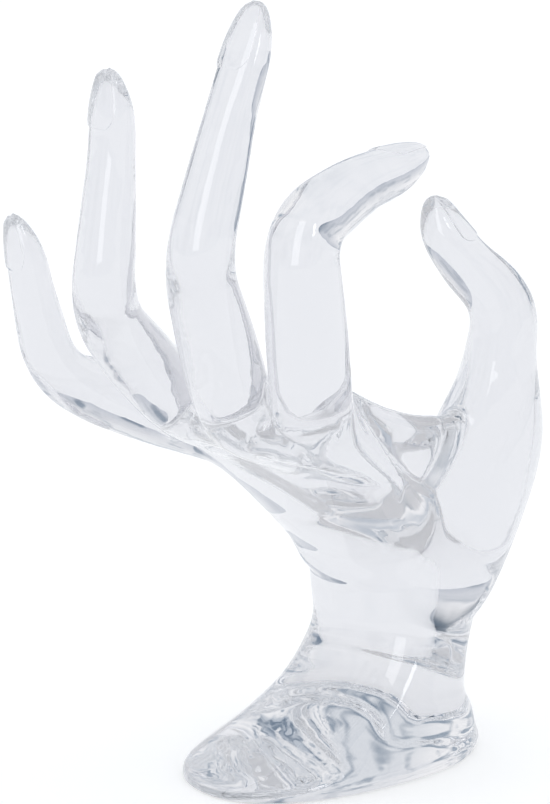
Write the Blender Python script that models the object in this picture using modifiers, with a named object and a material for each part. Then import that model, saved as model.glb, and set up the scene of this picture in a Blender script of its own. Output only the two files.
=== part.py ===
"""A clear cast display hand that makes the OK sign and stands on its flared wrist.

Rings slide over the fingers and chains hang in the loop of the thumb and forefinger.
The origin is the centre of the flat foot. +Z is up, +X points out of the palm, and -Y is the
thumb's side. All lengths are metres and all angles degrees.

Each finger is a tube carried along its bones. The palm and the foot are one tube, and the
pads and webs are tubes too. They overlap, a voxel remesh fuses them into the one solid that
the real casting is, and smoothing draws the skin over their seams. The nails are laid on
afterwards, so that their edges stay crisp, and last the foot is cut flat.
"""
import bmesh
import bpy
import numpy as np

PART_NAME = "ok_hand"
COLLECTION_NAME = "ok_hand_display"

# The foot is a flat oval with its long way from the back of the hand to the palm
FOOT_LENGTH = 0.0686
FOOT_WIDTH = 0.0452
FOOT_YAW = -11.5
FOOT_EDGE_HEIGHT = 0.0035
FOOT_EDGE_INSET = 0.0024

# The middle of the flare above the foot, the forearm where it is narrowest, and the heel.
# A squareness of 2 is an oval, and more fills its corners.
FLARE_CENTRE = (0.0098, 0.0000, 0.0125)
FOREARM_CENTRE = (0.0180, 0.0000, 0.0240)
FOREARM_THICKNESS = 0.0295
FOREARM_WIDTH = 0.0362
HEEL_CENTRE = (0.0225, 0.0010, 0.0460)
HEEL_THICKNESS = 0.0245
HEEL_WIDTH = 0.0430
BODY_SQUARENESS = 2.3

# How the hand is turned at its heel
HAND_YAW = 8.5
HAND_LEAN = 54.5
HAND_ROLL = 7.5

# The palm, between the metacarpal bones
PALM_LENGTH = 0.0620
PALM_THICKNESS = 0.0140
PALM_WIDTH = 0.0490

# Each finger: its knuckle from the heel (towards the thumb, along the hand, out of its back),
# the angle it is spread to the thumb's side, the bend at each joint, the length of each bone,
# and the half width at the knuckle, the middle joint and the end joint
INDEX_KNUCKLE = (0.0243, 0.0627, 0.0004)
INDEX_SPREAD = 5.0
INDEX_BENDS = (51.5, 76.5, 9.0)
INDEX_BONES = (0.0422, 0.0206, 0.0217)
INDEX_RADII = (0.0085, 0.0077, 0.0063)

MIDDLE_KNUCKLE = (0.0073, 0.0668, 0.0020)
MIDDLE_SPREAD = 12.0
MIDDLE_BENDS = (31.0, 43.5, 3.0)
MIDDLE_BONES = (0.0396, 0.0325, 0.0220)
MIDDLE_RADII = (0.0085, 0.0072, 0.0054)

RING_KNUCKLE = (-0.0099, 0.0655, 0.0017)
RING_SPREAD = 8.5
RING_BENDS = (11.0, 50.0, -9.5)
RING_BONES = (0.0369, 0.0322, 0.0181)
RING_RADII = (0.0070, 0.0069, 0.0051)

LITTLE_KNUCKLE = (-0.0238, 0.0588, 0.0019)
LITTLE_SPREAD = -4.5
LITTLE_BENDS = (-5.0, 51.0, -2.5)
LITTLE_BONES = (0.0294, 0.0184, 0.0166)
LITTLE_RADII = (0.0066, 0.0059, 0.0047)

# How far from its end a finger starts to round off into its tip
TIP_LENGTH = 0.0135

# The thumb: its root from the heel, and for each bone the angle to the thumb's side and the
# angle forward out of the palm. The end bone is in two lengths, because it bows back.
THUMB_ROOT = (0.0109, -0.0030, 0.0082)
THUMB_OUT = (28.5, 5.0, -26.0, -11.0)
THUMB_FORWARD = (57.5, 57.5, 19.0, 39.5)
THUMB_BONES = (0.0401, 0.0272, 0.0162, 0.0122)
THUMB_RADII = (0.0106, 0.0069, 0.0054)
THUMB_BALL_RADIUS = 0.0122

# The pad below the little finger, and the webs
HEEL_PAD_RADIUS = 0.0110
THUMB_WEB_THICKNESS = 0.0090
THUMB_WEB_DIP = 0.0075
THUMB_WEB_SQUARENESS = 2.5
FINGER_WEB_RADIUS = 0.0036
FINGER_WEB_REACH = -0.10

# Nails, from the forefinger's to the thumb's. Each is rolled from the middle of the digit's
# back, towards the thumb's side, and reaches the half angle to each side of its own middle.
NAIL_LENGTHS = (0.0150, 0.0165, 0.0135, 0.0128, 0.0140)
NAIL_ROLLS = (-18.0, -25.0, -25.0, -18.0, 0.0)
NAIL_HALF_ANGLE = 60.0
NAIL_HEIGHT = 0.00025
NAIL_DEPTH = 0.0015
NAIL_TIP_GAP = 0.0009

# Skin
BEND_EASE = 0.0085
HEEL_EASE = 0.0150
VOXEL = 0.0010
SKIN_PASSES = 12
SKIN_FACETS = 9800

RING_SIDES = 28
RING_SPACING = 0.0015


def clear_scene():
    for obj in list(bpy.data.objects):
        bpy.data.objects.remove(obj, do_unlink=True)


def unit(vector):
    return np.asarray(vector, float) / np.linalg.norm(vector)


def hand_axes():
    """The hand's three directions: along it, out of its back, and towards the thumb."""
    yaw, lean, roll = np.radians([HAND_YAW, HAND_LEAN, HAND_ROLL])
    backward = np.array([-np.cos(yaw), -np.sin(yaw), 0.0])
    thumbward = np.array([np.sin(yaw), -np.cos(yaw), 0.0])
    upward = np.array([0.0, 0.0, 1.0])
    along = np.cos(lean) * upward + np.sin(lean) * backward
    out = np.cos(lean) * backward - np.sin(lean) * upward
    thumb_side = np.cos(roll) * thumbward + np.sin(roll) * along
    along = np.cos(roll) * along - np.sin(roll) * thumbward
    return along, out, thumb_side


ALONG, OUT, THUMB_SIDE = hand_axes()
FOREARM = np.array(FOREARM_CENTRE)
HEEL = np.array(HEEL_CENTRE)


def on_hand(side, length, height):
    """A point given from the heel: towards the thumb, along the hand, out of its back."""
    return HEEL + side * THUMB_SIDE + length * ALONG + height * OUT


def bone_direction(sideways, forward):
    """The way a bone points, turned to the thumb's side and bent forward out of the palm."""
    sideways, forward = np.radians([sideways, forward])
    ahead = np.cos(forward) * ALONG - np.sin(forward) * OUT
    return np.cos(sideways) * ahead + np.sin(sideways) * THUMB_SIDE


def finger_joints(knuckle, spread, bends, bones):
    """Knuckle, middle joint, end joint and tip of a finger that bends in its own plane."""
    spread = np.radians(spread)
    ahead = np.cos(spread) * ALONG + np.sin(spread) * THUMB_SIDE
    joints = [on_hand(*knuckle)]
    for bend, length in zip(np.radians(np.cumsum(bends)), bones):
        joints.append(joints[-1] + length * (np.cos(bend) * ahead - np.sin(bend) * OUT))
    return joints


def thumb_joints():
    """Root, knuckle, middle joint, nail root and tip of the thumb."""
    joints = [on_hand(*THUMB_ROOT)]
    for out, forward, length in zip(THUMB_OUT, THUMB_FORWARD, THUMB_BONES):
        joints.append(joints[-1] + length * bone_direction(out, forward))
    return joints


def smooth_steps(at, stations, values):
    """Values between stations on a cubic that keeps the neighbours' slope at each station."""
    stations, values = np.asarray(stations, float), np.asarray(values, float)
    slopes = np.gradient(values, stations)
    span = np.clip(np.searchsorted(stations, at, side="right") - 1, 0, len(stations) - 2)
    width = stations[span + 1] - stations[span]
    t = np.clip((at - stations[span]) / width, 0.0, 1.0)
    return (
        (2 * t**3 - 3 * t**2 + 1) * values[span]
        + (t**3 - 2 * t**2 + t) * width * slopes[span]
        + (3 * t**2 - 2 * t**3) * values[span + 1]
        + (t**3 - t**2) * width * slopes[span + 1]
    )


def eased_path(joints, eases):
    """Points along straight bones whose corners are eased into arcs, one ease for each inner
    joint, and how many bones along each point is."""
    joints = np.asarray(joints, float)
    lengths = np.linalg.norm(np.diff(joints, axis=0), axis=1)
    points, along = [], []
    start = 0.0
    for bone, length in enumerate(lengths):
        last = bone == len(lengths) - 1
        end = 1.0 if last else 1.0 - min(eases[bone] / length, 0.48)
        count = max(2, int((end - start) * length / RING_SPACING))
        for t in np.linspace(start, end, count, endpoint=last):
            points.append(joints[bone] + t * (joints[bone + 1] - joints[bone]))
            along.append(bone + t)
        if last:
            break
        start = min(eases[bone] / lengths[bone + 1], 0.48)
        corner = joints[bone + 1]
        before = joints[bone] + end * (corner - joints[bone])
        after = corner + start * (joints[bone + 2] - corner)
        count = max(3, int(2 * eases[bone] / RING_SPACING))
        for t in np.linspace(0.0, 1.0, count, endpoint=False):
            points.append((1 - t) ** 2 * before + 2 * t * (1 - t) * corner + t**2 * after)
            along.append(bone + end + t * (1.0 - end + start))
    return np.array(points), np.array(along)


def rows_of_units(rows):
    return rows / np.linalg.norm(rows, axis=1)[:, None]


def ring_directions(normals, side):
    """Each ring's two directions, square to its normal: about along side, and across that."""
    raised = rows_of_units(np.cross(side, normals))
    return np.cross(normals, raised), raised


def loft(rings):
    """A closed mesh over rings of equally many points, flat at both ends."""
    mesh = bmesh.new()
    rows = [[mesh.verts.new(point) for point in ring] for ring in rings]
    count = len(rows[0])
    for lower, upper in zip(rows, rows[1:]):
        for k in range(count):
            n = (k + 1) % count
            mesh.faces.new((lower[k], lower[n], upper[n], upper[k]))
    mesh.faces.new(rows[0][::-1])
    mesh.faces.new(rows[-1])
    bmesh.ops.recalc_face_normals(mesh, faces=mesh.faces)
    data = bpy.data.meshes.new("loft")
    mesh.to_mesh(data)
    mesh.free()
    return data


def tube(centres, across, raised, half_widths, backs, fronts, squareness=2.0):
    """A closed tube of oval rings. across and raised are each ring's two directions; backs and
    fronts are its half heights on the side that raised points to and on the other."""
    angles = np.linspace(0.0, 2 * np.pi, RING_SIDES, endpoint=False)
    power = 2.0 / squareness
    sideways = np.sign(np.cos(angles)) * np.abs(np.cos(angles)) ** power
    upward = np.sign(np.sin(angles)) * np.abs(np.sin(angles)) ** power
    rings = []
    for centre, wide, up, width, back, front in zip(
            centres, across, raised, half_widths, backs, fronts):
        heights = np.where(upward > 0, back, front) * upward
        rings.append(centre + np.outer(sideways * width, wide) + np.outer(heights, up))
    return loft(rings)


# A finger's outline by how many bones along it is, from inside the forearm to the tip
FINGER_STEPS = (0.0, 1.0, 1.5, 1.95, 2.4, 3.0, 3.5, 4.0, 4.35, 4.62, 5.0)


def finger_outline(steps, radii):
    """Half width, height of the back and height of the pad along a finger."""
    knuckle, middle, end = radii
    shaft = 0.52 * (knuckle + middle)
    widths = smooth_steps(steps, FINGER_STEPS, (
        0.8 * knuckle, 0.8 * knuckle, 0.82 * knuckle, 0.94 * knuckle, 0.95 * shaft, 0.98 * middle,
        0.49 * (middle + end), end, 0.98 * end, 0.95 * end, 0.9 * end))
    backs = smooth_steps(steps, FINGER_STEPS, (
        0.8 * knuckle, 0.75 * knuckle, 0.3 * knuckle, 0.77 * knuckle, shaft, 0.98 * middle,
        0.49 * (middle + end), 0.9 * end, 0.7 * end, 0.6 * end, 0.5 * end))
    fronts = smooth_steps(steps, FINGER_STEPS, (
        0.8 * knuckle, 0.8 * knuckle, 0.9 * knuckle, 1.1 * knuckle, 1.13 * shaft, 0.94 * middle,
        0.50 * (middle + end), 0.98 * end, 1.01 * end, 0.94 * end, 0.66 * end))
    return widths, backs, fronts


def tip_fade(steps, tip, blunt_length):
    """1 along a finger, then down to nothing at its almond-shaped tip."""
    t = np.clip((steps - tip + blunt_length) / blunt_length, 0.0, 1.0)
    return np.maximum(1.0 - t**2, 1e-4) ** 0.5


def finger_rings(root_side, knuckle, spread, bends, bones, radii):
    """Every ring of a finger, from inside the forearm, through the heel and the knuckle, to
    its tip: how many bones along, centre, two directions, half width, back and front."""
    start = FOREARM + root_side * THUMB_SIDE
    heel = on_hand(root_side, 0.0, 0.0)
    joints = [start, heel] + finger_joints(knuckle, spread, bends, bones)
    points, steps = eased_path(joints, (HEEL_EASE, BEND_EASE, BEND_EASE, BEND_EASE))
    spread = np.radians(spread)
    side = np.cos(spread) * THUMB_SIDE - np.sin(spread) * ALONG
    across, raised = ring_directions(rows_of_units(np.gradient(points, axis=0)), side)
    widths, backs, fronts = finger_outline(steps, radii)
    fade = tip_fade(steps, 5.0, TIP_LENGTH / bones[-1])
    return steps, points, across, raised, widths * fade, backs * fade, fronts * fade


def thumb_rings():
    """Every ring of the thumb. Its first bone carries the ball of the palm and starts in the
    forearm."""
    joints = [FOREARM] + thumb_joints()
    points, steps = eased_path(joints, (0.006, 0.012, BEND_EASE, BEND_EASE))
    bend_axis = -unit(np.cross(joints[3] - joints[2], joints[4] - joints[3]))
    across, raised = ring_directions(rows_of_units(np.gradient(points, axis=0)), bend_axis)
    knuckle, middle, end = THUMB_RADII
    ball = THUMB_BALL_RADIUS
    stations = (0.0, 1.0, 1.35, 1.75, 2.0, 2.5, 3.0, 3.5, 4.0, 4.4, 5.0)
    widths = smooth_steps(steps, stations, (
        0.7 * ball, 1.02 * ball, ball, 0.93 * ball, knuckle, 1.2 * middle, middle,
        1.08 * end, 1.06 * end, 1.02 * end, 0.9 * end))
    backs = smooth_steps(steps, stations, (
        0.7 * ball, 1.03 * ball, 1.03 * ball, 0.95 * ball, knuckle, 1.03 * middle, 1.03 * middle,
        1.04 * end, 0.96 * end, 0.9 * end, 0.8 * end))
    fronts = smooth_steps(steps, stations, (
        0.7 * ball, ball, 1.1 * ball, 1.06 * ball, 1.18 * knuckle, 1.25 * middle, 0.99 * middle,
        1.24 * end, 1.06 * end, end, 0.8 * end))
    fade = tip_fade(steps, 5.0, 1.0)
    return steps, points, across, raised, widths * fade, backs * fade, fronts * fade


def nail(rings_of_digit, length, roll):
    """A nail: a shell that follows the finger's back from the cuticle to near the tip, a
    little proud of it, and closes inside the finger. Its root is round, like the cuticle."""
    points, across, raised, widths, backs = rings_of_digit
    lengths = np.linalg.norm(np.diff(points, axis=0), axis=1)
    to_tip = np.concatenate((np.cumsum(lengths[::-1])[::-1], [0.0]))
    chosen = np.flatnonzero((to_tip < length) & (to_tip > NAIL_TIP_GAP))
    along = (length - to_tip[chosen]) / (length - NAIL_TIP_GAP)
    root = np.clip(along / 0.30, 0.0, 1.0)
    half_angles = np.radians(NAIL_HALF_ANGLE) * np.sqrt(1.0 - 0.9 * (1.0 - root) ** 2)
    sunk = np.clip(1.0 - along / 0.08, 0.0, 1.0) + np.clip((along - 0.9) / 0.1, 0.0, 1.0)
    turn = np.linspace(-1.0, 1.0, 11)
    rings = []
    for k, half_angle, dip in zip(chosen, half_angles, 0.6 * sunk):
        angles = np.radians(roll) + turn * half_angle
        sides = np.outer(np.sin(angles), across[k])
        ups = np.outer(np.cos(angles), raised[k])
        skin = sides * widths[k] + ups * backs[k]
        under = skin * max(0.25, 1.0 - NAIL_DEPTH / backs[k])
        top = skin + NAIL_HEIGHT * (sides + ups)
        top += dip * (under - top)
        rings.append(points[k] + np.concatenate((top, under[::-1])))
    return loft(rings)


def body():
    """The foot, the forearm, the heel and the palm: one tube that starts below the flat face
    with level rings, and bends back at the heel."""
    below = np.array([0.0, 0.0, -0.004])
    edge = np.array([0.0, 0.0, 0.6 * FOOT_EDGE_HEIGHT])
    joints = [below, edge, FLARE_CENTRE, FOREARM, HEEL, on_hand(0.0, PALM_LENGTH, 0.0)]
    points, steps = eased_path(joints, (0.0015, 0.004, 0.006, HEEL_EASE))
    yaw = np.radians(FOOT_YAW)
    foot_side = np.array([np.sin(yaw), -np.cos(yaw), 0.0])
    turn = np.clip((steps - 1.4) / 1.8, 0.0, 1.0)[:, None]
    turn = turn**2 * (3 - 2 * turn)
    tangents = rows_of_units(np.gradient(points, axis=0))
    normals = rows_of_units((1 - turn) * np.array([0.0, 0.0, 1.0]) + turn * tangents)
    across, raised = ring_directions(normals, (1 - turn) * foot_side + turn * THUMB_SIDE)
    stations = (0.0, 1.0, 1.3, 1.65, 2.0, 2.5, 3.0, 3.5, 4.0, 4.4, 4.8, 5.0)
    palm_flare = np.array((1.0, 1.0, 0.81, 0.63, 0.48, 0.21, 0.0))
    toe_flare = np.array((1.0, 1.0, 0.73, 0.38, 0.07, -0.1, -0.08))
    widths = FOREARM_WIDTH + palm_flare * (FOOT_WIDTH - FOREARM_WIDTH)
    widths = np.concatenate((widths, (
        0.5 * (FOREARM_WIDTH + HEEL_WIDTH), HEEL_WIDTH, 0.5 * (HEEL_WIDTH + PALM_WIDTH),
        PALM_WIDTH, 0.92 * PALM_WIDTH)))
    thicknesses = np.array((
        0.5 * (FOREARM_THICKNESS + HEEL_THICKNESS), HEEL_THICKNESS,
        0.45 * (HEEL_THICKNESS + PALM_THICKNESS), PALM_THICKNESS, 0.8 * PALM_THICKNESS))
    spare = FOOT_LENGTH - FOREARM_THICKNESS
    toes = np.concatenate((FOREARM_THICKNESS + toe_flare * spare, thicknesses))
    palms = np.concatenate((FOREARM_THICKNESS + palm_flare * spare, thicknesses))
    inset = FOOT_EDGE_INSET * np.clip(1.0 - points[:, 2] / FOOT_EDGE_HEIGHT, 0.0, 1.0) ** 2
    half_widths = smooth_steps(steps, stations, widths) / 2 - inset
    backs = smooth_steps(steps, stations, toes) / 2 - inset
    fronts = smooth_steps(steps, stations, palms) / 2 - inset
    swell = smooth_steps(steps, (0.0, 3.3, 3.8, 4.1, 4.35, 4.65, 5.0),
                         (1.0, 1.06, 1.22, 1.34, 1.22, 0.82, 0.5))
    return tube(points, across, raised, half_widths, swell * backs, fronts, BODY_SQUARENESS)


def heel_pad():
    """The pad on the palm along the little finger's side."""
    joints = [on_hand(-0.006, -0.004, 0.003), on_hand(-0.011, 0.018, -0.001),
              on_hand(-0.020, 0.052, 0.001)]
    points, steps = eased_path(joints, (0.012,))
    across, raised = ring_directions(rows_of_units(np.gradient(points, axis=0)), THUMB_SIDE)
    sizes = HEEL_PAD_RADIUS * smooth_steps(
        steps, (0.0, 0.5, 1.0, 1.5, 2.0), (0.5, 0.85, 1.0, 0.9, 0.6))
    return tube(points, across, raised, sizes, 0.5 * sizes, sizes)


def thumb_web():
    """The fold of skin between the thumb and the forefinger. Its rings are flat ovals that
    reach from inside the palm to an edge that hangs between the two digits."""
    root, knuckle, middle = thumb_joints()[:3]
    index = finger_joints(INDEX_KNUCKLE, INDEX_SPREAD, INDEX_BENDS, INDEX_BONES)
    index_end = index[0] + 0.34 * (index[1] - index[0])
    thumb_end = knuckle + 0.2 * (middle - knuckle)
    sag = 2.0 * THUMB_WEB_DIP * unit(index[1] - index[0])
    t = np.linspace(0.0, 1.0, 28)[:, None]
    hang = (index_end + thumb_end) / 2 - sag
    edge = (1 - t) ** 2 * index_end + 2 * t * (1 - t) * hang + t**2 * thumb_end
    inner = (1 - t) * on_hand(0.010, 0.025, 0.0) + t * (root + 0.3 * (knuckle - root))
    centres = (edge + inner) / 2
    across = rows_of_units(edge - inner)
    raised = rows_of_units(np.cross(across, rows_of_units(np.gradient(centres, axis=0))))
    half_spans = np.linalg.norm(edge - inner, axis=1) / 2
    thickness = np.full(len(t), THUMB_WEB_THICKNESS / 2)
    return tube(centres, across, raised, half_spans, thickness, thickness, THUMB_WEB_SQUARENESS)


def finger_web(near, far):
    """The short bridge of skin between two neighbouring fingers."""
    ends = []
    for _, knuckle, spread, bends, bones, _ in (near, far):
        joints = finger_joints(knuckle, spread, bends, bones)
        ends.append(joints[0] + FINGER_WEB_REACH * (joints[1] - joints[0]))
    points = ends[0] + np.outer(np.linspace(0.0, 1.0, 12), ends[1] - ends[0])
    across, raised = ring_directions(rows_of_units(np.gradient(points, axis=0)), ALONG)
    sizes = np.full(len(points), FINGER_WEB_RADIUS)
    return tube(points, across, raised, 1.6 * sizes, sizes, sizes)


FINGERS = (
    (0.009, INDEX_KNUCKLE, INDEX_SPREAD, INDEX_BENDS, INDEX_BONES, INDEX_RADII),
    (0.003, MIDDLE_KNUCKLE, MIDDLE_SPREAD, MIDDLE_BENDS, MIDDLE_BONES, MIDDLE_RADII),
    (-0.003, RING_KNUCKLE, RING_SPREAD, RING_BENDS, RING_BONES, RING_RADII),
    (-0.009, LITTLE_KNUCKLE, LITTLE_SPREAD, LITTLE_BENDS, LITTLE_BONES, LITTLE_RADII),
)


def joined(name, meshes):
    """One mesh that holds all the meshes."""
    mesh = bmesh.new()
    for data in meshes:
        mesh.from_mesh(data)
        bpy.data.meshes.remove(data)
    data = bpy.data.meshes.new(name)
    mesh.to_mesh(data)
    mesh.free()
    return data


def hidden_cutter(name, data, collection):
    """An object that only shapes the hand, and is not part of it."""
    cutter = bpy.data.objects.new(name, data)
    collection.objects.link(cutter)
    cutter.hide_render = True
    cutter.display_type = "WIRE"
    return cutter


def ground_block():
    """A block whose top is the level that the foot stands on."""
    mesh = bmesh.new()
    bmesh.ops.create_cube(mesh, size=1.0)
    bmesh.ops.scale(mesh, vec=(0.3, 0.3, 0.1), verts=mesh.verts)
    bmesh.ops.translate(mesh, vec=(0.0, 0.0, -0.05), verts=mesh.verts)
    data = bpy.data.meshes.new("ground")
    mesh.to_mesh(data)
    mesh.free()
    return data


def clear_cast_acrylic():
    material = bpy.data.materials.new("clear_cast_acrylic")
    material.use_nodes = True
    surface = material.node_tree.nodes["Principled BSDF"]
    surface.inputs["Base Color"].default_value = (0.93, 0.95, 0.97, 1.0)
    surface.inputs["Metallic"].default_value = 0.0
    surface.inputs["Roughness"].default_value = 0.02
    surface.inputs["IOR"].default_value = 1.49
    surface.inputs["Transmission Weight"].default_value = 1.0
    return material


def build():
    clear_scene()
    collection = bpy.data.collections.new(COLLECTION_NAME)
    cutters = bpy.data.collections.new("cutters")
    bpy.context.scene.collection.children.link(collection)
    bpy.context.scene.collection.children.link(cutters)
    digits = [finger_rings(*finger) for finger in FINGERS] + [thumb_rings()]
    meshes = [body(), heel_pad(), thumb_web()]
    meshes += [tube(*digit[1:]) for digit in digits]
    meshes += [finger_web(near, far) for near, far in zip(FINGERS, FINGERS[1:])]
    hand = bpy.data.objects.new(PART_NAME, joined(PART_NAME, meshes))
    collection.objects.link(hand)
    hand.data.materials.append(clear_cast_acrylic())
    remesh = hand.modifiers.new("fuse", "REMESH")
    remesh.mode = "VOXEL"
    remesh.voxel_size = VOXEL
    smooth = hand.modifiers.new("skin", "SMOOTH")
    smooth.factor = 0.5
    smooth.iterations = SKIN_PASSES
    graph = bpy.context.evaluated_depsgraph_get()
    fine = len(hand.evaluated_get(graph).data.polygons)
    decimate = hand.modifiers.new("facets", "DECIMATE")
    decimate.ratio = SKIN_FACETS / (2 * fine)
    nails = joined("nails", [nail(digit[1:6], length, roll)
                             for digit, length, roll in zip(digits, NAIL_LENGTHS, NAIL_ROLLS)])
    lay = hand.modifiers.new("nails", "BOOLEAN")
    lay.operation = "UNION"
    lay.object = hidden_cutter("nails", nails, cutters)
    cut = hand.modifiers.new("flat_foot", "BOOLEAN")
    cut.operation = "DIFFERENCE"
    cut.object = hidden_cutter("ground", ground_block(), cutters)
    hand.data.shade_smooth()


build()
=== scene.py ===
"""A clear cast acrylic display hand that makes the OK sign, on a white light table.

The hand is worked out as surfaces: every finger, the thumb, the palm with the foot, the pads
and the webs are ovals carried along a path. They are fused into one skin, smoothed, and given
their nails. The stage is a glowing table in a white room with soft light from the left.
All lengths are metres and all angles degrees.
"""

import bmesh
import bpy
import numpy as np
from bpy.props import FloatProperty, FloatVectorProperty, IntProperty, PointerProperty
from mathutils import Matrix, Vector


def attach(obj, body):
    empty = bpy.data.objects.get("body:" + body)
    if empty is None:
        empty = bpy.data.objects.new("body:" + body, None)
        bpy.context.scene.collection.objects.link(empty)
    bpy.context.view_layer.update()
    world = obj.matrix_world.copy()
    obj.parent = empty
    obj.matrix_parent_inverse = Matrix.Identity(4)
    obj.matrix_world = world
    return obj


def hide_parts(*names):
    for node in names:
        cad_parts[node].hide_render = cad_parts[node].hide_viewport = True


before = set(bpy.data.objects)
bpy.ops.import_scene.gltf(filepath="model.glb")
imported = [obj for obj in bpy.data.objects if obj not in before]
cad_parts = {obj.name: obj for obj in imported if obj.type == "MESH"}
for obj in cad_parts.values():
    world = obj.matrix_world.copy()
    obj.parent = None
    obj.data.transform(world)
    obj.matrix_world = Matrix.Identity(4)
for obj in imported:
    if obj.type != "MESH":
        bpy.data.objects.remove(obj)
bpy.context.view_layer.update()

bl_info = {
    "name": "Clear display hand",
    "version": (1, 0, 0),
    "blender": (4, 5, 0),
    "location": "View3D > Sidebar > Display hand",
    "description": "A clear cast acrylic hand in the OK gesture and the stage it is shown on",
    "category": "Add Mesh",
}

NODE = "ok_hand"

# The room is white above this sine of the elevation, and greyer towards the floor
ROOM_WHITE = "#FFFFFF"
ROOM_WHITE_FROM = 0.32
ROOM_LOW_COLOUR = "#CDD2DA"

# The room's soft grey-blue patches, which the clear folds mirror. Each has the azimuth from +Y
# towards +X and the elevation of its middle, how far from there it ends and has its full
# colour, and that colour.
ROOM_PATCHES = (((286.0, 14.0), (15.0, 5.0), "#55687A"),
                ((52.0, 46.0), (40.0, 8.0), "#E4E8EC"),
                ((212.0, 36.0), (26.0, 7.0), "#C6CED7"))

# Blurs of the studio's things, out of focus: how many to the unit radius, which makes them
# some 12 degrees across, and the noise values at which they are darkest and gone. The shuffle
# only moves them about. This one came nearest to the photograph of eight that were tried.
BLURS_PER_RADIUS = 5.0
BLUR_SHUFFLE = 5.2
BLUR_EDGES = (0.36, 0.50)
BLUR_COLOUR = "#9CAAB8"

# The soft lights: name, place, width and height, and share of the softbox's power
SOFT_LIGHTS = (("softbox_left", (-0.75, -0.35, 0.55), (0.35, 0.9), 1.0),
               ("window_front", (-0.25, -0.95, 0.75), (0.16, 0.30), 0.35))

# A foot never lies dead flat, and the film of air under it is what mirrors light back up
FLOOR_GAP = 0.0003
FLOOR_REACH = 4.0

# The point that the camera and the lights look at. The photograph's height stands for the
# sensor's, which is in millimetres, and the lens and the shift of the frame are in pixels.
MIDDLE = (0.0, 0.0, 0.085)
PHOTO_HEIGHT = 804.0
SENSOR_HEIGHT = 36.0
LENS_LENGTH = 4560.0
FRAME_SHIFT = (-55.0, -27.0)

# How often light may be bent or mirrored on its way out of the clear hand
MAX_BOUNCES = 64
MIRROR_BOUNCES = 32

# The foot, the forearm and the heel of the hand
FOOT_LENGTH = 0.0686
FOOT_WIDTH = 0.0452
FOOT_YAW = -11.5
FOOT_EDGE_HEIGHT = 0.0035
FOOT_EDGE_INSET = 0.0024
FLARE_CENTRE = (0.0098, 0.0000, 0.0125)
FOREARM_CENTRE = (0.0180, 0.0000, 0.0240)
FOREARM_THICKNESS = 0.0295
FOREARM_WIDTH = 0.0362
HEEL_CENTRE = (0.0225, 0.0010, 0.0460)
HEEL_THICKNESS = 0.0245
HEEL_WIDTH = 0.0430
BODY_SQUARENESS = 2.3

# The body's tube starts this far below the foot. Its rings turn from level to square to the
# path between these two places, in bones along it.
BODY_BELOW_FOOT = 0.0040
BODY_TURN_STEPS = (1.4, 3.2)

# How the hand is turned at its heel, and the palm
HAND_YAW = 8.5
HAND_LEAN = 54.5
HAND_ROLL = 7.5
PALM_LENGTH = 0.0620
PALM_THICKNESS = 0.0140
PALM_WIDTH = 0.0490

# Each finger: its root's place across the forearm, its knuckle from the heel, its spread, its
# bends, its bones, and its half width at the knuckle, the middle joint and the end joint
FINGERS = {
    "index": (0.009, (0.0243, 0.0627, 0.0004), 5.0, (51.5, 76.5, 9.0),
              (0.0422, 0.0206, 0.0217), (0.0085, 0.0077, 0.0063)),
    "middle": (0.003, (0.0073, 0.0668, 0.0020), 12.0, (31.0, 43.5, 3.0),
               (0.0396, 0.0325, 0.0220), (0.0085, 0.0072, 0.0054)),
    "ring": (-0.003, (-0.0099, 0.0655, 0.0017), 8.5, (11.0, 50.0, -9.5),
             (0.0369, 0.0322, 0.0181), (0.0070, 0.0069, 0.0051)),
    "little": (-0.009, (-0.0238, 0.0588, 0.0019), -4.5, (-5.0, 51.0, -2.5),
               (0.0294, 0.0184, 0.0166), (0.0066, 0.0059, 0.0047)),
}

# The thumb: its root from the heel, and for each bone its angle to the side and forward
THUMB_ROOT = (0.0109, -0.0030, 0.0082)
THUMB_OUT = (28.5, 5.0, -26.0, -11.0)
THUMB_FORWARD = (57.5, 57.5, 19.0, 39.5)
THUMB_BONES = (0.0401, 0.0272, 0.0162, 0.0122)
THUMB_RADII = (0.0106, 0.0069, 0.0054)
THUMB_BALL_RADIUS = 0.0122

# How far from its end a finger starts to round off into its tip
TIP_LENGTH = 0.0135

# Pads and webs. The thumb's web starts at these shares of the forefinger's first bone and of
# the thumb's second, and its inner line runs from a place in the palm to a share of the
# thumb's first.
HEEL_PAD_RADIUS = 0.0110
HEEL_PAD_JOINTS = ((-0.006, -0.004, 0.003), (-0.011, 0.018, -0.001), (-0.020, 0.052, 0.001))
THUMB_WEB_ON_FINGER = 0.34
THUMB_WEB_ON_THUMB = 0.2
THUMB_WEB_IN_PALM = (0.010, 0.025, 0.0)
THUMB_WEB_IN_BALL = 0.3
THUMB_WEB_THICKNESS = 0.0090
THUMB_WEB_DIP = 0.0075
THUMB_WEB_SQUARENESS = 2.5
FINGER_WEB_RADIUS = 0.0036
FINGER_WEB_REACH = -0.10

# Nails, from the forefinger's to the thumb's. Each is rolled from the middle of the digit's
# back, towards the thumb's side, and reaches the half angle to each side of its own middle.
NAIL_LENGTHS = (0.0150, 0.0165, 0.0135, 0.0128, 0.0140)
NAIL_ROLLS = (-18.0, -25.0, -25.0, -18.0, 0.0)
NAIL_HALF_ANGLE = 60.0
NAIL_DEPTH = 0.0015
NAIL_TIP_GAP = 0.0009
NAIL_POINTS_ACROSS = 21

# Shares of a nail's length: its round root, and where its root and its tip sink into the skin
NAIL_ROUND_ROOT = 0.30
NAIL_SUNK_ROOT = 0.08
NAIL_SUNK_TIP = 0.1

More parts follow.
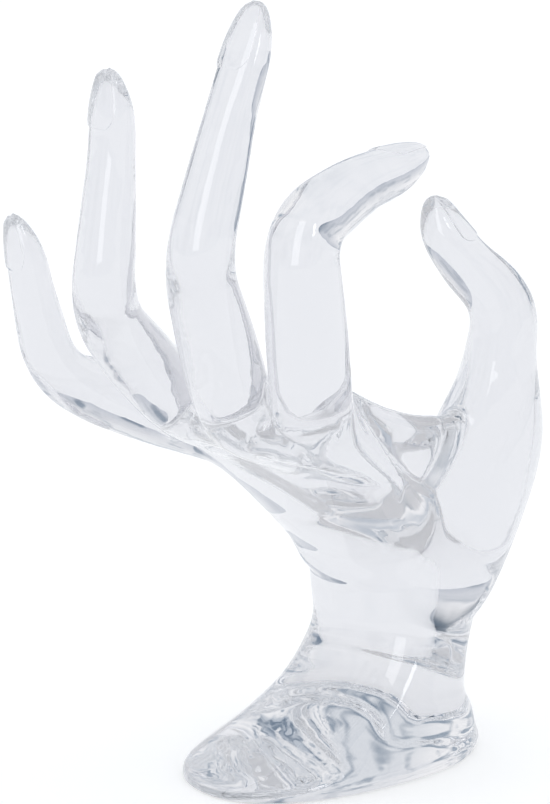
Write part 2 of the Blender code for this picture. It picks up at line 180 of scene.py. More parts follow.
# How far before and after the inner corners of its path a tube is eased, and the largest
# share of a bone that an ease may take
BEND_EASE = 0.0085
HEEL_EASE = 0.0150
BODY_EASES = (0.0015, 0.0040, 0.0060, HEEL_EASE)
FINGER_EASES = (HEEL_EASE, BEND_EASE, BEND_EASE, BEND_EASE)
THUMB_EASES = (0.0060, 0.0120, BEND_EASE, BEND_EASE)
HEEL_PAD_EASE = 0.0120
LARGEST_EASE = 0.48

RING_SIDES = 48
RING_SPACING = 0.0010
THUMB_WEB_RINGS = 40
FINGER_WEB_RINGS = 16

# Where a finger's outline is given, in bones along its path, and where its tip is
FINGER_STEPS = (0.0, 1.0, 1.5, 1.95, 2.4, 3.0, 3.5, 4.0, 4.35, 4.62, 5.0)
TIP_STEP = 5.0

# The share of the way to its neighbours' middle that each smoothing moves a point
SKIN_BLUR_FACTOR = 0.5

# The block that cuts the foot flat
BLOCK_REACH = 0.15
BLOCK_DEPTH = 0.1

# A fused hand has far more faces than this
FEWEST_FACES = 10000

# The mould's ripple is about 6 mm from crest to crest
RIPPLES_PER_METRE = 160.0

# Faces that look down more squarely than this belong to the flat foot
FLAT_FOOT_NORMAL = -0.99999
SHARP_ANGLE = 50.0


def linear(code):
    """An sRGB hex colour as the linear red, green and blue that shaders use. Up to 0.04045 a
    value is divided by 12.92, and above that it is the 2.4th power of (value + 0.055) / 1.055.
    """
    steps = np.array([int(code[k:k + 2], 16) for k in (1, 3, 5)]) / 255.0
    return tuple(np.where(steps <= 0.04045, steps / 12.92, ((steps + 0.055) / 1.055) ** 2.4))


# Settings


class HandShape(bpy.types.PropertyGroup):
    """The finish of the hand's form."""
    skin_detail: FloatProperty(
        name="Skin detail", description="Size of the cells that fuse the hand into one skin",
        default=0.00069, min=0.0004, max=0.004, unit="LENGTH", precision=5)
    skin_blur: IntProperty(
        name="Skin blur", description="How many times the fused skin is smoothed",
        default=30, min=0, max=200)
    nail_height: FloatProperty(
        name="Nail height", description="How far the nails stand proud of the skin",
        default=0.00025, min=0.0, max=0.002, unit="LENGTH", precision=5)


class AcrylicFinish(bpy.types.PropertyGroup):
    """The clear cast acrylic."""
    tint: FloatVectorProperty(
        name="Tint", description="Colour that light takes on at each face of the acrylic",
        default=linear("#E4E4E7"), subtype="COLOR", min=0.0, max=1.0)
    depth_tint: FloatVectorProperty(
        name="Depth tint", description="Colour that thick acrylic turns white light to",
        default=linear("#6C8B9A"), subtype="COLOR", min=0.0, max=1.0)
    depth_density: FloatProperty(
        name="Depth density", description="How much each metre of acrylic takes on that tint",
        default=0.4, min=0.0, max=200.0)
    refraction: FloatProperty(
        name="Refraction", description="How strongly the acrylic bends light",
        default=1.49, min=1.0, max=2.0)
    polish: FloatProperty(
        name="Roughness", description="Roughness of the polished skin",
        default=0.015, min=0.0, max=1.0, subtype="FACTOR")
    ripple: FloatProperty(
        name="Ripple", description="Height of the faint ripple that the mould leaves",
        default=0.00006, min=0.0, max=0.001, unit="LENGTH", precision=6)


class StageLook(bpy.types.PropertyGroup):
    """The floor, the light and the camera."""
    floor_colour: FloatVectorProperty(
        name="Floor", description="Colour of the light table", default=linear("#DCDCDC"),
        subtype="COLOR", min=0.0, max=1.0)
    floor_glow: FloatProperty(
        name="Floor glow", description="Strength of the light that the table gives off",
        default=0.45, min=0.0, max=2.0)
    room_light: FloatProperty(
        name="Room light", description="Strength of the white light from all round",
        default=1.11, min=0.0, max=10.0)
    softbox_power: FloatProperty(
        name="Softbox power", description="Power of the large soft light on the left",
        default=2.4, min=0.0, max=1000.0, unit="POWER")
    camera_azimuth: FloatProperty(
        name="Camera azimuth", description="Side that the camera stands on; 0 looks along +Y",
        default=315.0, min=0.0, max=360.0)
    camera_elevation: FloatProperty(
        name="Camera elevation", description="How far the camera looks down",
        default=16.0, min=-90.0, max=90.0)
    camera_distance: FloatProperty(
        name="Camera distance", description="From the middle of the hand to the camera",
        default=0.95, min=0.1, max=10.0, unit="LENGTH")


# Directions and paths


def hand_axes():
    """The hand's three directions: along it, out of its back, and towards the thumb."""
    yaw, lean, roll = np.radians([HAND_YAW, HAND_LEAN, HAND_ROLL])
    backward = np.array([-np.cos(yaw), -np.sin(yaw), 0.0])
    thumbward = np.array([np.sin(yaw), -np.cos(yaw), 0.0])
    upward = np.array([0.0, 0.0, 1.0])
    along = np.cos(lean) * upward + np.sin(lean) * backward
    out = np.cos(lean) * backward - np.sin(lean) * upward
    thumb_side = np.cos(roll) * thumbward + np.sin(roll) * along
    along = np.cos(roll) * along - np.sin(roll) * thumbward
    return along, out, thumb_side


ALONG, OUT, THUMB_SIDE = hand_axes()
FOREARM = np.array(FOREARM_CENTRE)
HEEL = np.array(HEEL_CENTRE)


def on_hand(side, length, height):
    """A point given from the heel: towards the thumb, along the hand, out of its back."""
    return HEEL + side * THUMB_SIDE + length * ALONG + height * OUT


def bone_direction(sideways, forward):
    """The way a bone points, turned to the thumb's side and bent forward out of the palm."""
    sideways, forward = np.radians([sideways, forward])
    ahead = np.cos(forward) * ALONG - np.sin(forward) * OUT
    return np.cos(sideways) * ahead + np.sin(sideways) * THUMB_SIDE


def finger_joints(knuckle, spread, bends, bones):
    """Knuckle, middle joint, end joint and tip: each bone turned on by the sum of the bends."""
    spread = np.radians(spread)
    ahead = np.cos(spread) * ALONG + np.sin(spread) * THUMB_SIDE
    turned = np.radians(np.cumsum(bends))[:, None]
    steps = np.array(bones)[:, None] * (np.cos(turned) * ahead - np.sin(turned) * OUT)
    return on_hand(*knuckle) + np.vstack((np.zeros(3), np.cumsum(steps, axis=0)))


def thumb_joints():
    """Root, knuckle, middle joint, nail root and tip of the thumb."""
    steps = [length * bone_direction(out, forward)
             for out, forward, length in zip(THUMB_OUT, THUMB_FORWARD, THUMB_BONES)]
    return on_hand(*THUMB_ROOT) + np.vstack((np.zeros(3), np.cumsum(steps, axis=0)))


def smooth_steps(at, stations, values):
    """Values between stations on a cubic that keeps the neighbours' slope at each station."""
    stations, values = np.asarray(stations, float), np.asarray(values, float)
    slopes = np.gradient(values, stations)
    span = np.clip(np.searchsorted(stations, at, side="right") - 1, 0, len(stations) - 2)
    width = stations[span + 1] - stations[span]
    t = np.clip((at - stations[span]) / width, 0.0, 1.0)
    return (
        (2 * t**3 - 3 * t**2 + 1) * values[span]
        + (t**3 - 2 * t**2 + t) * width * slopes[span]
        + (3 * t**2 - 2 * t**3) * values[span + 1]
        + (t**3 - t**2) * width * slopes[span + 1]
    )


def smoothstep(values, low, high):
    """0 below low, 1 above high, and 3t^2 - 2t^3 between them."""
    t = np.clip((values - low) / (high - low), 0.0, 1.0)
    return t * t * (3 - 2 * t)


def eased_path(joints, eases):
    """Points along straight bones whose corners are eased by quadratic arcs, one ease for each
    inner joint, and how many bones along each point is."""
    joints = np.asarray(joints, float)
    lengths = np.linalg.norm(np.diff(joints, axis=0), axis=1)
    points, along = [], []
    start = 0.0
    for bone, length in enumerate(lengths):
        last = bone == len(lengths) - 1
        end = 1.0 if last else 1.0 - min(eases[bone] / length, LARGEST_EASE)
        count = max(2, int((end - start) * length / RING_SPACING))
        t = np.linspace(start, end, count, endpoint=last)[:, None]
        points.append(joints[bone] + t * (joints[bone + 1] - joints[bone]))
        along.append(bone + t[:, 0])
        if last:
            break
        start = min(eases[bone] / lengths[bone + 1], LARGEST_EASE)
        corner = joints[bone + 1]
        before = joints[bone] + end * (corner - joints[bone])
        after = corner + start * (joints[bone + 2] - corner)
        count = max(3, int(2 * eases[bone] / RING_SPACING))
        t = np.linspace(0.0, 1.0, count, endpoint=False)[:, None]
        points.append((1 - t) ** 2 * before + 2 * t * (1 - t) * corner + t**2 * after)
        along.append(bone + end + t[:, 0] * (1.0 - end + start))
    return np.vstack(points), np.concatenate(along)


def rows_of_units(rows):
    """Each row divided by its length."""
    return rows / np.linalg.norm(rows, axis=1)[:, None]


def ring_directions(normals, side):
    """Each ring's two directions, square to its normal: about along side, and across that."""
    raised = rows_of_units(np.cross(side, normals))
    return np.cross(normals, raised), raised


# Surfaces


def oval_tube(centres, across, raised, half_widths, backs, fronts, squareness=2.0):
    """Points of a tube on a grid: centre + width * c * across + height * s * raised, where c and
    s are the signed 2/squareness powers of the cosine and sine round the ring, and the height
    is that of the back above the middle and of the front below it."""
    angles = np.linspace(0.0, 2 * np.pi, RING_SIDES, endpoint=False)
    power = 2.0 / squareness
    c = np.sign(np.cos(angles)) * np.abs(np.cos(angles)) ** power
    s = np.sign(np.sin(angles)) * np.abs(np.sin(angles)) ** power
    heights = np.where(s > 0, np.asarray(backs)[:, None], np.asarray(fronts)[:, None]) * s
    widths = np.asarray(half_widths)[:, None] * c
    return (centres[:, None] + widths[..., None] * across[:, None]
            + heights[..., None] * raised[:, None])


def closed_faces(rows, columns):
    """Faces over a grid of rings: a four-sided face between each two rings, and one face with
    all the points of the ring at each end."""
    r, c = np.meshgrid(np.arange(rows - 1), np.arange(columns), indexing="ij")
    n = (c + 1) % columns
    quads = np.stack((r * columns + c, r * columns + n,
                      (r + 1) * columns + n, (r + 1) * columns + c), axis=-1)
    first = np.arange(columns)[::-1].tolist()
    last = ((rows - 1) * columns + np.arange(columns)).tolist()
    return quads.reshape(-1, 4).tolist() + [first, last]


def grid_mesh(name, grids):
    """One mesh that holds the closed tubes of all the grids, with the faces outwards."""
    points, faces, count = [], [], 0
    for grid in grids:
        rows, columns = grid.shape[:2]
        points.append(grid.reshape(-1, 3))
        faces += [[k + count for k in face] for face in closed_faces(rows, columns)]
        count += rows * columns
    mesh = bpy.data.meshes.new(name)
    mesh.from_pydata(np.vstack(points).tolist(), [], faces)
    outwards(mesh)
    return mesh


def outwards(mesh):
    """Turns every face of a closed mesh to point out."""
    solid = bmesh.new()
    solid.from_mesh(mesh)
    bmesh.ops.recalc_face_normals(solid, faces=solid.faces)
    solid.to_mesh(mesh)
    solid.free()


def finger_outline(steps, radii):
    """Half width, height of the back and height of the pad along a finger, each at the finger's
    steps a share of the half width at its knuckle, middle joint or end joint."""
    knuckle, middle, end = radii
    shaft = 0.52 * (knuckle + middle)
    widths = smooth_steps(steps, FINGER_STEPS, (
        0.8 * knuckle, 0.8 * knuckle, 0.82 * knuckle, 0.94 * knuckle, 0.95 * shaft, 0.98 * middle,
        0.49 * (middle + end), end, 0.98 * end, 0.95 * end, 0.9 * end))
    backs = smooth_steps(steps, FINGER_STEPS, (
        0.8 * knuckle, 0.75 * knuckle, 0.3 * knuckle, 0.77 * knuckle, shaft, 0.98 * middle,
        0.49 * (middle + end), 0.9 * end, 0.7 * end, 0.6 * end, 0.5 * end))
    fronts = smooth_steps(steps, FINGER_STEPS, (
        0.8 * knuckle, 0.8 * knuckle, 0.9 * knuckle, 1.1 * knuckle, 1.13 * shaft, 0.94 * middle,
        0.50 * (middle + end), 0.98 * end, 1.01 * end, 0.94 * end, 0.66 * end))
    return widths, backs, fronts


def tip_fade(steps, blunt_length):
    """1 along a digit, then the square root of 1 - t^2 down to nothing at its tip."""
    t = np.clip((steps - TIP_STEP + blunt_length) / blunt_length, 0.0, 1.0)
    return np.sqrt(np.maximum(1.0 - t**2, 1e-4))


def finger_rings(root_side, knuckle, spread, bends, bones, radii):
    """Every ring of a finger from inside the forearm to its tip: centre, two directions, half
    width, back and front."""
    joints = np.vstack((FOREARM + root_side * THUMB_SIDE, on_hand(root_side, 0.0, 0.0),
                        finger_joints(knuckle, spread, bends, bones)))
    points, steps = eased_path(joints, FINGER_EASES)
    spread = np.radians(spread)
    side = np.cos(spread) * THUMB_SIDE - np.sin(spread) * ALONG
    across, raised = ring_directions(rows_of_units(np.gradient(points, axis=0)), side)
    widths, backs, fronts = finger_outline(steps, radii)
    fade = tip_fade(steps, TIP_LENGTH / bones[-1])
    return points, across, raised, widths * fade, backs * fade, fronts * fade


def thumb_rings():
    """Every ring of the thumb, as for a finger. Its first bone carries the ball of the palm."""
    joints = np.vstack((FOREARM, thumb_joints()))
    points, steps = eased_path(joints, THUMB_EASES)
    axis = -np.cross(joints[3] - joints[2], joints[4] - joints[3])
    across, raised = ring_directions(
        rows_of_units(np.gradient(points, axis=0)), axis / np.linalg.norm(axis))
    knuckle, middle, end = THUMB_RADII
    ball = THUMB_BALL_RADIUS
    stations = (0.0, 1.0, 1.35, 1.75, 2.0, 2.5, 3.0, 3.5, 4.0, 4.4, 5.0)
    widths = smooth_steps(steps, stations, (
        0.7 * ball, 1.02 * ball, ball, 0.93 * ball, knuckle, 1.2 * middle, middle,
        1.08 * end, 1.06 * end, 1.02 * end, 0.9 * end))
    backs = smooth_steps(steps, stations, (
        0.7 * ball, 1.03 * ball, 1.03 * ball, 0.95 * ball, knuckle, 1.03 * middle, 1.03 * middle,
        1.04 * end, 0.96 * end, 0.9 * end, 0.8 * end))
    fronts = smooth_steps(steps, stations, (
        0.7 * ball, ball, 1.1 * ball, 1.06 * ball, 1.18 * knuckle, 1.25 * middle, 0.99 * middle,
        1.24 * end, 1.06 * end, end, 0.8 * end))
    fade = tip_fade(steps, 1.0)
    return points, across, raised, widths * fade, backs * fade, fronts * fade


def body_grid():
    """The foot, the forearm, the heel and the palm: level rings at the foot that turn square to
    the path on the way up, with the toe and the palm side flared apart."""
    below = np.array([0.0, 0.0, -BODY_BELOW_FOOT])
    edge = np.array([0.0, 0.0, 0.6 * FOOT_EDGE_HEIGHT])
    joints = [below, edge, FLARE_CENTRE, FOREARM, HEEL, on_hand(0.0, PALM_LENGTH, 0.0)]
    points, steps = eased_path(joints, BODY_EASES)
    yaw = np.radians(FOOT_YAW)
    foot_side = np.array([np.sin(yaw), -np.cos(yaw), 0.0])
    turn = smoothstep(steps, *BODY_TURN_STEPS)[:, None]
    tangents = rows_of_units(np.gradient(points, axis=0))
    normals = rows_of_units((1 - turn) * np.array([0.0, 0.0, 1.0]) + turn * tangents)
    across, raised = ring_directions(normals, (1 - turn) * foot_side + turn * THUMB_SIDE)
    stations = (0.0, 1.0, 1.3, 1.65, 2.0, 2.5, 3.0, 3.5, 4.0, 4.4, 4.8, 5.0)
    palm_flare = np.array((1.0, 1.0, 0.81, 0.63, 0.48, 0.21, 0.0))
    toe_flare = np.array((1.0, 1.0, 0.73, 0.38, 0.07, -0.1, -0.08))
    widths = np.concatenate((FOREARM_WIDTH + palm_flare * (FOOT_WIDTH - FOREARM_WIDTH), (
        0.5 * (FOREARM_WIDTH + HEEL_WIDTH), HEEL_WIDTH, 0.5 * (HEEL_WIDTH + PALM_WIDTH),
        PALM_WIDTH, 0.92 * PALM_WIDTH)))
    thicknesses = np.array((
        0.5 * (FOREARM_THICKNESS + HEEL_THICKNESS), HEEL_THICKNESS,
        0.45 * (HEEL_THICKNESS + PALM_THICKNESS), PALM_THICKNESS, 0.8 * PALM_THICKNESS))
    spare = FOOT_LENGTH - FOREARM_THICKNESS
    toes = np.concatenate((FOREARM_THICKNESS + toe_flare * spare, thicknesses))
    palms = np.concatenate((FOREARM_THICKNESS + palm_flare * spare, thicknesses))
    inset = FOOT_EDGE_INSET * np.clip(1.0 - points[:, 2] / FOOT_EDGE_HEIGHT, 0.0, 1.0) ** 2
    half_widths = smooth_steps(steps, stations, widths) / 2 - inset
    backs = smooth_steps(steps, stations, toes) / 2 - inset
    fronts = smooth_steps(steps, stations, palms) / 2 - inset
    swell = smooth_steps(steps, (0.0, 3.3, 3.8, 4.1, 4.35, 4.65, 5.0),
                         (1.0, 1.06, 1.22, 1.34, 1.22, 0.82, 0.5))
    return oval_tube(points, across, raised, half_widths, swell * backs, fronts, BODY_SQUARENESS)


def heel_pad_grid():
    """The pad on the palm along the little finger's side."""
    joints = [on_hand(*joint) for joint in HEEL_PAD_JOINTS]
    points, steps = eased_path(joints, (HEEL_PAD_EASE,))
    across, raised = ring_directions(rows_of_units(np.gradient(points, axis=0)), THUMB_SIDE)
    sizes = HEEL_PAD_RADIUS * smooth_steps(
        steps, (0.0, 0.5, 1.0, 1.5, 2.0), (0.5, 0.85, 1.0, 0.9, 0.6))
    return oval_tube(points, across, raised, sizes, 0.5 * sizes, sizes)


def thumb_web_grid():
    """The fold between the thumb and the forefinger: flat ovals that reach from a line inside
    the palm to a quadratic curve that hangs between the two digits."""
    root, knuckle, middle = thumb_joints()[:3]
    index = finger_joints(*FINGERS["index"][1:5])
    index_end = index[0] + THUMB_WEB_ON_FINGER * (index[1] - index[0])
    thumb_end = knuckle + THUMB_WEB_ON_THUMB * (middle - knuckle)
    down = (index[1] - index[0]) / np.linalg.norm(index[1] - index[0])
    t = np.linspace(0.0, 1.0, THUMB_WEB_RINGS)[:, None]
    hang = (index_end + thumb_end) / 2 - 2.0 * THUMB_WEB_DIP * down
    edge = (1 - t) ** 2 * index_end + 2 * t * (1 - t) * hang + t**2 * thumb_end
    in_ball = root + THUMB_WEB_IN_BALL * (knuckle - root)
    inner = (1 - t) * on_hand(*THUMB_WEB_IN_PALM) + t * in_ball
    centres = (edge + inner) / 2
    across = rows_of_units(edge - inner)
    raised = rows_of_units(np.cross(across, rows_of_units(np.gradient(centres, axis=0))))
    half_spans = np.linalg.norm(edge - inner, axis=1) / 2
    thickness = np.full(len(t), THUMB_WEB_THICKNESS / 2)
    return oval_tube(centres, across, raised, half_spans, thickness, thickness,
                     THUMB_WEB_SQUARENESS)


def finger_web_grid(near, far):
    """The short bridge of skin between two neighbouring fingers."""
    ends = []
    for _, knuckle, spread, bends, bones, _ in (near, far):
        joints = finger_joints(knuckle, spread, bends, bones)
        ends.append(joints[0] + FINGER_WEB_REACH * (joints[1] - joints[0]))
    t = np.linspace(0.0, 1.0, FINGER_WEB_RINGS)
    points = ends[0] + np.outer(t, ends[1] - ends[0])
    across, raised = ring_directions(rows_of_units(np.gradient(points, axis=0)), ALONG)
    sizes = np.full(len(points), FINGER_WEB_RADIUS)
    return oval_tube(points, across, raised, 1.6 * sizes, sizes, sizes)


def nail_grid(rings_of_digit, length, roll, height):
    """A nail plate: rings that run over the finger's back and return inside it. The half angle
    of a ring falls off as an ellipse towards the round root, and the ends sink in."""
    points, across, raised, widths, backs = rings_of_digit
    lengths = np.linalg.norm(np.diff(points, axis=0), axis=1)
    to_tip = np.concatenate((np.cumsum(lengths[::-1])[::-1], [0.0]))
    chosen = np.flatnonzero((to_tip < length) & (to_tip > NAIL_TIP_GAP))
    along = (length - to_tip[chosen]) / (length - NAIL_TIP_GAP)
    root = np.clip(along / NAIL_ROUND_ROOT, 0.0, 1.0)
    half_angles = np.radians(NAIL_HALF_ANGLE) * np.sqrt(1.0 - 0.9 * (1.0 - root) ** 2)
    sunk_root = np.clip(1.0 - along / NAIL_SUNK_ROOT, 0.0, 1.0)
    sunk_tip = np.clip((along - (1.0 - NAIL_SUNK_TIP)) / NAIL_SUNK_TIP, 0.0, 1.0)
    across_nail = np.linspace(-1.0, 1.0, NAIL_POINTS_ACROSS)
    turn = np.radians(roll) + half_angles[:, None] * across_nail
    sides = np.sin(turn)[..., None] * across[chosen][:, None]
    ups = np.cos(turn)[..., None] * raised[chosen][:, None]
    skin = sides * widths[chosen][:, None, None] + ups * backs[chosen][:, None, None]
    under = skin * np.maximum(0.25, 1.0 - NAIL_DEPTH / backs[chosen])[:, None, None]
    top = skin + height * (sides + ups)
    top += 0.6 * (sunk_root + sunk_tip)[:, None, None] * (under - top)
    return points[chosen][:, None] + np.concatenate((top, under[:, ::-1]), axis=1)


# Materials


def add_node(tree, kind, settings=None, inputs=None, links=()):
    """Adds a shader node, sets its settings and its sockets' values, and links its sockets.
    Each link is (input socket, other node, that node's output socket)."""
    node = tree.nodes.new(kind)
    for name, value in (settings or {}).items():
        setattr(node, name, value)
    for name, value in (inputs or {}).items():
        node.inputs[name].default_value = value
    for name, source, output in links:
        tree.links.new(source.outputs[output], node.inputs[name])
    return node


def clear_cast_acrylic(finish):
    """Polymethyl methacrylate, poured as a clear syrup into a mould and left to set, then flame
    polished. The eye sees through it: it bends what lies behind, shows a bright line where a
    lamp is mirrored, and greys a little with thickness. The mould leaves a faint ripple."""
    material = bpy.data.materials.new("clear_cast_acrylic")
    material.use_nodes = True
    tree = material.node_tree
    tree.nodes.clear()
    place = add_node(tree, "ShaderNodeTexCoord")
    noise = add_node(tree, "ShaderNodeTexNoise", {"noise_dimensions": "3D"},
                     {"Scale": RIPPLES_PER_METRE, "Detail": 1.0, "Roughness": 0.4},
                     [("Vector", place, "Object")])
    bump = add_node(tree, "ShaderNodeBump", {}, {"Strength": 1.0, "Distance": finish.ripple},
                    [("Height", noise, "Fac")])
    surface = add_node(tree, "ShaderNodeBsdfPrincipled", {}, {
        "Base Color": (*finish.tint, 1.0), "Metallic": 0.0, "Roughness": finish.polish,
        "IOR": finish.refraction, "Transmission Weight": 1.0}, [("Normal", bump, "Normal")])
    body = add_node(tree, "ShaderNodeVolumeAbsorption", {}, {
        "Color": (*finish.depth_tint, 1.0), "Density": finish.depth_density})
    add_node(tree, "ShaderNodeOutputMaterial", {}, {}, [
        ("Surface", surface, "BSDF"), ("Volume", body, "Volume")])
    return material


def light_table(colour, glow):
    """Opal acrylic sheet over lamps, as a light table has: white and matt, with a faint even
    glow of its own, so that even the floor below the foot is light."""
    material = bpy.data.materials.new("opal_light_table")
    material.use_nodes = True
    tree = material.node_tree
    surface = tree.nodes["Principled BSDF"]
    surface.inputs["Base Color"].default_value = (*colour, 1.0)
    surface.inputs["Roughness"].default_value = 0.9
    surface.inputs["Specular IOR Level"].default_value = 0.1
    surface.inputs["Emission Color"].default_value = (1.0, 1.0, 1.0, 1.0)
    surface.inputs["Emission Strength"].default_value = glow
    return material


# The hand


def applied(obj):
    """The object's mesh with its modifiers applied."""
    graph = bpy.context.evaluated_depsgraph_get()
    mesh = bpy.data.meshes.new_from_object(obj.evaluated_get(graph), depsgraph=graph)
    obj.modifiers.clear()
    return mesh


def scene_object(name, data):
    """A new object in the scene that shows the mesh, lamp or camera given."""
    obj = bpy.data.objects.new(name, data)
    bpy.context.scene.collection.objects.link(obj)
    return obj


def foot_block():
    """A block whose top is the level that the foot stands on."""
    sides = (-BLOCK_REACH, BLOCK_REACH)
    corners = [(x, y, z) for x in sides for y in sides for z in (-BLOCK_DEPTH, 0.0)]
    faces = [(0, 1, 3, 2), (4, 6, 7, 5), (0, 4, 5, 1), (2, 3, 7, 6), (0, 2, 6, 4), (1, 5, 7, 3)]
    mesh = bpy.data.meshes.new("foot_block")
    mesh.from_pydata(corners, [], faces)
    outwards(mesh)
    return mesh


def with_boolean(obj, operation, mesh):
    """The object's mesh joined with, or cut by, another mesh."""
    other = scene_object("other", mesh)
    step = obj.modifiers.new("step", "BOOLEAN")
    step.operation = operation
    step.solver = "EXACT"
    step.object = other
    result = applied(obj)
    bpy.data.objects.remove(other, do_unlink=True)
    return result


def smooth_but_flat_foot(mesh):
    """Shades the skin smooth except over sharp edges. The flat underside keeps one straight
    normal, or it would mirror the inside of the foot bent."""
    normals = np.empty(3 * len(mesh.polygons))
    mesh.polygons.foreach_get("normal", normals)
    mesh.polygons.foreach_set("use_smooth", normals[2::3] > FLAT_FOOT_NORMAL)
    mesh.set_sharp_from_angle(angle=np.radians(SHARP_ANGLE))


class DISPLAYHAND_OT_cast_hand(bpy.types.Operator):
    """Makes the clear hand: fuses its surfaces, smooths the skin, lays on the nails and cuts
    the foot flat"""
    bl_idname = "display_hand.cast_hand"
    bl_label = "Cast the hand"

    def execute(self, context):
        shape = context.scene.display_hand_shape
        digits = [finger_rings(*finger) for finger in FINGERS.values()] + [thumb_rings()]
        grids = [body_grid(), heel_pad_grid(), thumb_web_grid()]
        grids += [oval_tube(*digit) for digit in digits]
        fingers = list(FINGERS.values())
        grids += [finger_web_grid(near, far) for near, far in zip(fingers, fingers[1:])]
        hand = scene_object("hand", grid_mesh("hand", grids))
        fuse = hand.modifiers.new("fuse", "REMESH")
        fuse.mode = "VOXEL"
        fuse.voxel_size = shape.skin_detail
        blur = hand.modifiers.new("blur", "SMOOTH")
        blur.factor = SKIN_BLUR_FACTOR
        blur.iterations = shape.skin_blur
        hand.data = applied(hand)
        nails = grid_mesh("nails", [
            nail_grid(digit[:5], length, roll, shape.nail_height)
            for digit, length, roll in zip(digits, NAIL_LENGTHS, NAIL_ROLLS)])
        hand.data = with_boolean(hand, "UNION", nails)
        hand.data = with_boolean(hand, "DIFFERENCE", foot_block())
        if len(hand.data.polygons) < FEWEST_FACES:
            raise RuntimeError("the hand's surfaces were not fused")
        hand.data.materials.clear()
        hand.data.materials.append(clear_cast_acrylic(context.scene.display_hand_finish))
        smooth_but_flat_foot(hand.data)
        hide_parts(NODE)
        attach(hand, "root")
        return {"FINISHED"}


# The stage


def set_stops(ramp, places, colours):
    """Sets a colour ramp's two stops."""
    for stop, place, colour in zip(ramp.color_ramp.elements, places, colours):
        stop.position = place
        stop.color = (*linear(colour), 1.0)


def room_world(strength):
    """White light from all round, a little greyer near the floor, times the soft patches and
    the blurs, so that the clear folds and edges have something dark to show. The first ramp
    runs over the sine of the elevation, and a patch's over the cosine of the angle from its
    middle."""
    world = bpy.data.worlds.new("white_room")
    world.use_nodes = True
    tree = world.node_tree
    tree.nodes.clear()
    place = add_node(tree, "ShaderNodeTexCoord")
    split = add_node(tree, "ShaderNodeSeparateXYZ", {}, {}, [("Vector", place, "Generated")])
    ramp = add_node(tree, "ShaderNodeValToRGB", {}, {}, [("Fac", split, "Z")])
    set_stops(ramp, (0.0, ROOM_WHITE_FROM), (ROOM_LOW_COLOUR, ROOM_WHITE))
    room, output = ramp, "Color"
    for middle, edges, colour in ROOM_PATCHES:
        azimuth, elevation = np.radians(middle)
        towards = (np.sin(azimuth) * np.cos(elevation), np.cos(azimuth) * np.cos(elevation),
                   np.sin(elevation))
        facing = add_node(tree, "ShaderNodeVectorMath", {"operation": "DOT_PRODUCT"},
                          {1: towards}, [(0, place, "Generated")])
        patch = add_node(tree, "ShaderNodeValToRGB", {}, {}, [("Fac", facing, "Value")])
        patch.color_ramp.interpolation = "EASE"
        set_stops(patch, np.cos(np.radians(edges)), (ROOM_WHITE, colour))
        room = add_node(tree, "ShaderNodeVectorMath", {"operation": "MULTIPLY"}, {},
                        [(0, room, output), (1, patch, "Color")])
        output = "Vector"
    things = add_node(tree, "ShaderNodeTexNoise", {"noise_dimensions": "4D"},
                      {"W": BLUR_SHUFFLE, "Scale": BLURS_PER_RADIUS, "Detail": 1.5,
                       "Roughness": 0.5}, [("Vector", place, "Generated")])
    blurs = add_node(tree, "ShaderNodeValToRGB", {}, {}, [("Fac", things, "Fac")])
    set_stops(blurs, BLUR_EDGES, (BLUR_COLOUR, ROOM_WHITE))
    room = add_node(tree, "ShaderNodeVectorMath", {"operation": "MULTIPLY"}, {},
                    [(0, room, output), (1, blurs, "Color")])
    light = add_node(tree, "ShaderNodeBackground", {}, {"Strength": strength},
                     [("Color", room, "Vector")])
    add_node(tree, "ShaderNodeOutputWorld", {}, {}, [("Surface", light, "Background")])
    return world


def area_light(name, place, size, power):
    """A rectangular soft light at a place, turned to shine on the middle of the hand. It shows
    only where it is mirrored: matt surfaces and the light that passes through leave it out."""
    lamp = bpy.data.lights.new(name, "AREA")
    lamp.shape = "RECTANGLE"
    lamp.size, lamp.size_y = size
    lamp.energy = power
    light = scene_object(name, lamp)
    turn = (Vector(MIDDLE) - Vector(place)).to_track_quat("-Z", "Y")
    light.matrix_world = Matrix.LocRotScale(Vector(place), turn, None)
    light.visible_diffuse = False
    light.visible_transmission = False


def place_camera(scene, look):
    """Puts the camera at the photograph's angle, with its frame moved to the photograph's by a
    small shift."""
    azimuth, elevation = np.radians([look.camera_azimuth, look.camera_elevation])
    ahead = np.array([-np.sin(azimuth), np.cos(azimuth), 0.0]) * np.cos(elevation)
    ahead[2] = -np.sin(elevation)
    camera = scene_object("camera", bpy.data.cameras.new("camera"))
    turn = Vector(ahead).to_track_quat("-Z", "Y")
    place = Vector(MIDDLE) - look.camera_distance * Vector(ahead)
    camera.matrix_world = Matrix.LocRotScale(place, turn, None)
    camera.data.sensor_fit = "VERTICAL"
    camera.data.sensor_height = SENSOR_HEIGHT
    camera.data.lens = LENS_LENGTH * SENSOR_HEIGHT / PHOTO_HEIGHT
    camera.data.shift_x = FRAME_SHIFT[0] / PHOTO_HEIGHT
    camera.data.shift_y = FRAME_SHIFT[1] / PHOTO_HEIGHT
    scene.camera = camera


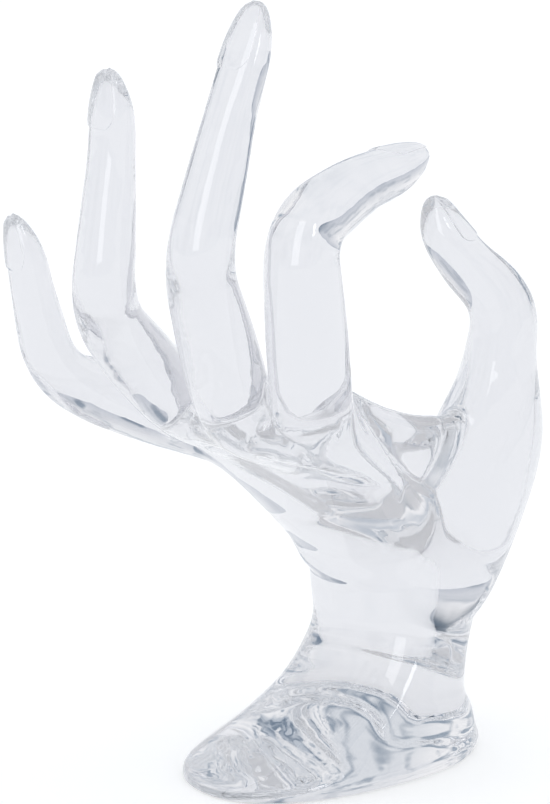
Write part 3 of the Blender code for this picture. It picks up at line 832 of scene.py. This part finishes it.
class DISPLAYHAND_OT_set_stage(bpy.types.Operator):
    """Makes the floor, the lights and the camera"""
    bl_idname = "display_hand.set_stage"
    bl_label = "Set the stage"

    def execute(self, context):
        look = context.scene.display_hand_stage
        mesh = bpy.data.meshes.new("floor")
        corners = [(FLOOR_REACH * x, FLOOR_REACH * y, -FLOOR_GAP)
                   for x, y in ((-1, -1), (1, -1), (1, 1), (-1, 1))]
        mesh.from_pydata(corners, [], [(0, 1, 2, 3)])
        mesh.materials.append(light_table(look.floor_colour, look.floor_glow))
        floor = scene_object("floor", mesh)
        context.scene.world = room_world(look.room_light)
        for name, place, size, share in SOFT_LIGHTS:
            area_light(name, place, size, share * look.softbox_power)
        place_camera(context.scene, look)
        context.scene.view_settings.view_transform = "Standard"
        context.scene.cycles.max_bounces = MAX_BOUNCES
        context.scene.cycles.transmission_bounces = MAX_BOUNCES
        context.scene.cycles.glossy_bounces = MIRROR_BOUNCES
        return {"FINISHED"}


class DISPLAYHAND_PT_panel(bpy.types.Panel):
    """Lists the pieces and their settings"""
    bl_idname = "DISPLAYHAND_PT_panel"
    bl_label = "Display hand"
    bl_space_type = "VIEW_3D"
    bl_region_type = "UI"
    bl_category = "Display hand"

    def draw(self, context):
        scene = context.scene
        for group in (scene.display_hand_shape, scene.display_hand_finish):
            for name in group.__annotations__:
                self.layout.prop(group, name)
        self.layout.operator(DISPLAYHAND_OT_cast_hand.bl_idname)
        for name in scene.display_hand_stage.__annotations__:
            self.layout.prop(scene.display_hand_stage, name)
        self.layout.operator(DISPLAYHAND_OT_set_stage.bl_idname)


CLASSES = (HandShape, AcrylicFinish, StageLook, DISPLAYHAND_OT_cast_hand,
           DISPLAYHAND_OT_set_stage, DISPLAYHAND_PT_panel)


def register():
    for cls in CLASSES:
        bpy.utils.register_class(cls)
    bpy.types.Scene.display_hand_shape = PointerProperty(type=HandShape)
    bpy.types.Scene.display_hand_finish = PointerProperty(type=AcrylicFinish)
    bpy.types.Scene.display_hand_stage = PointerProperty(type=StageLook)


def unregister():
    del bpy.types.Scene.display_hand_shape
    del bpy.types.Scene.display_hand_finish
    del bpy.types.Scene.display_hand_stage
    for cls in reversed(CLASSES):
        bpy.utils.unregister_class(cls)


def main():
    register()
    bpy.ops.display_hand.cast_hand()
    bpy.ops.display_hand.set_stage()


if __name__ == "__main__":
    main()
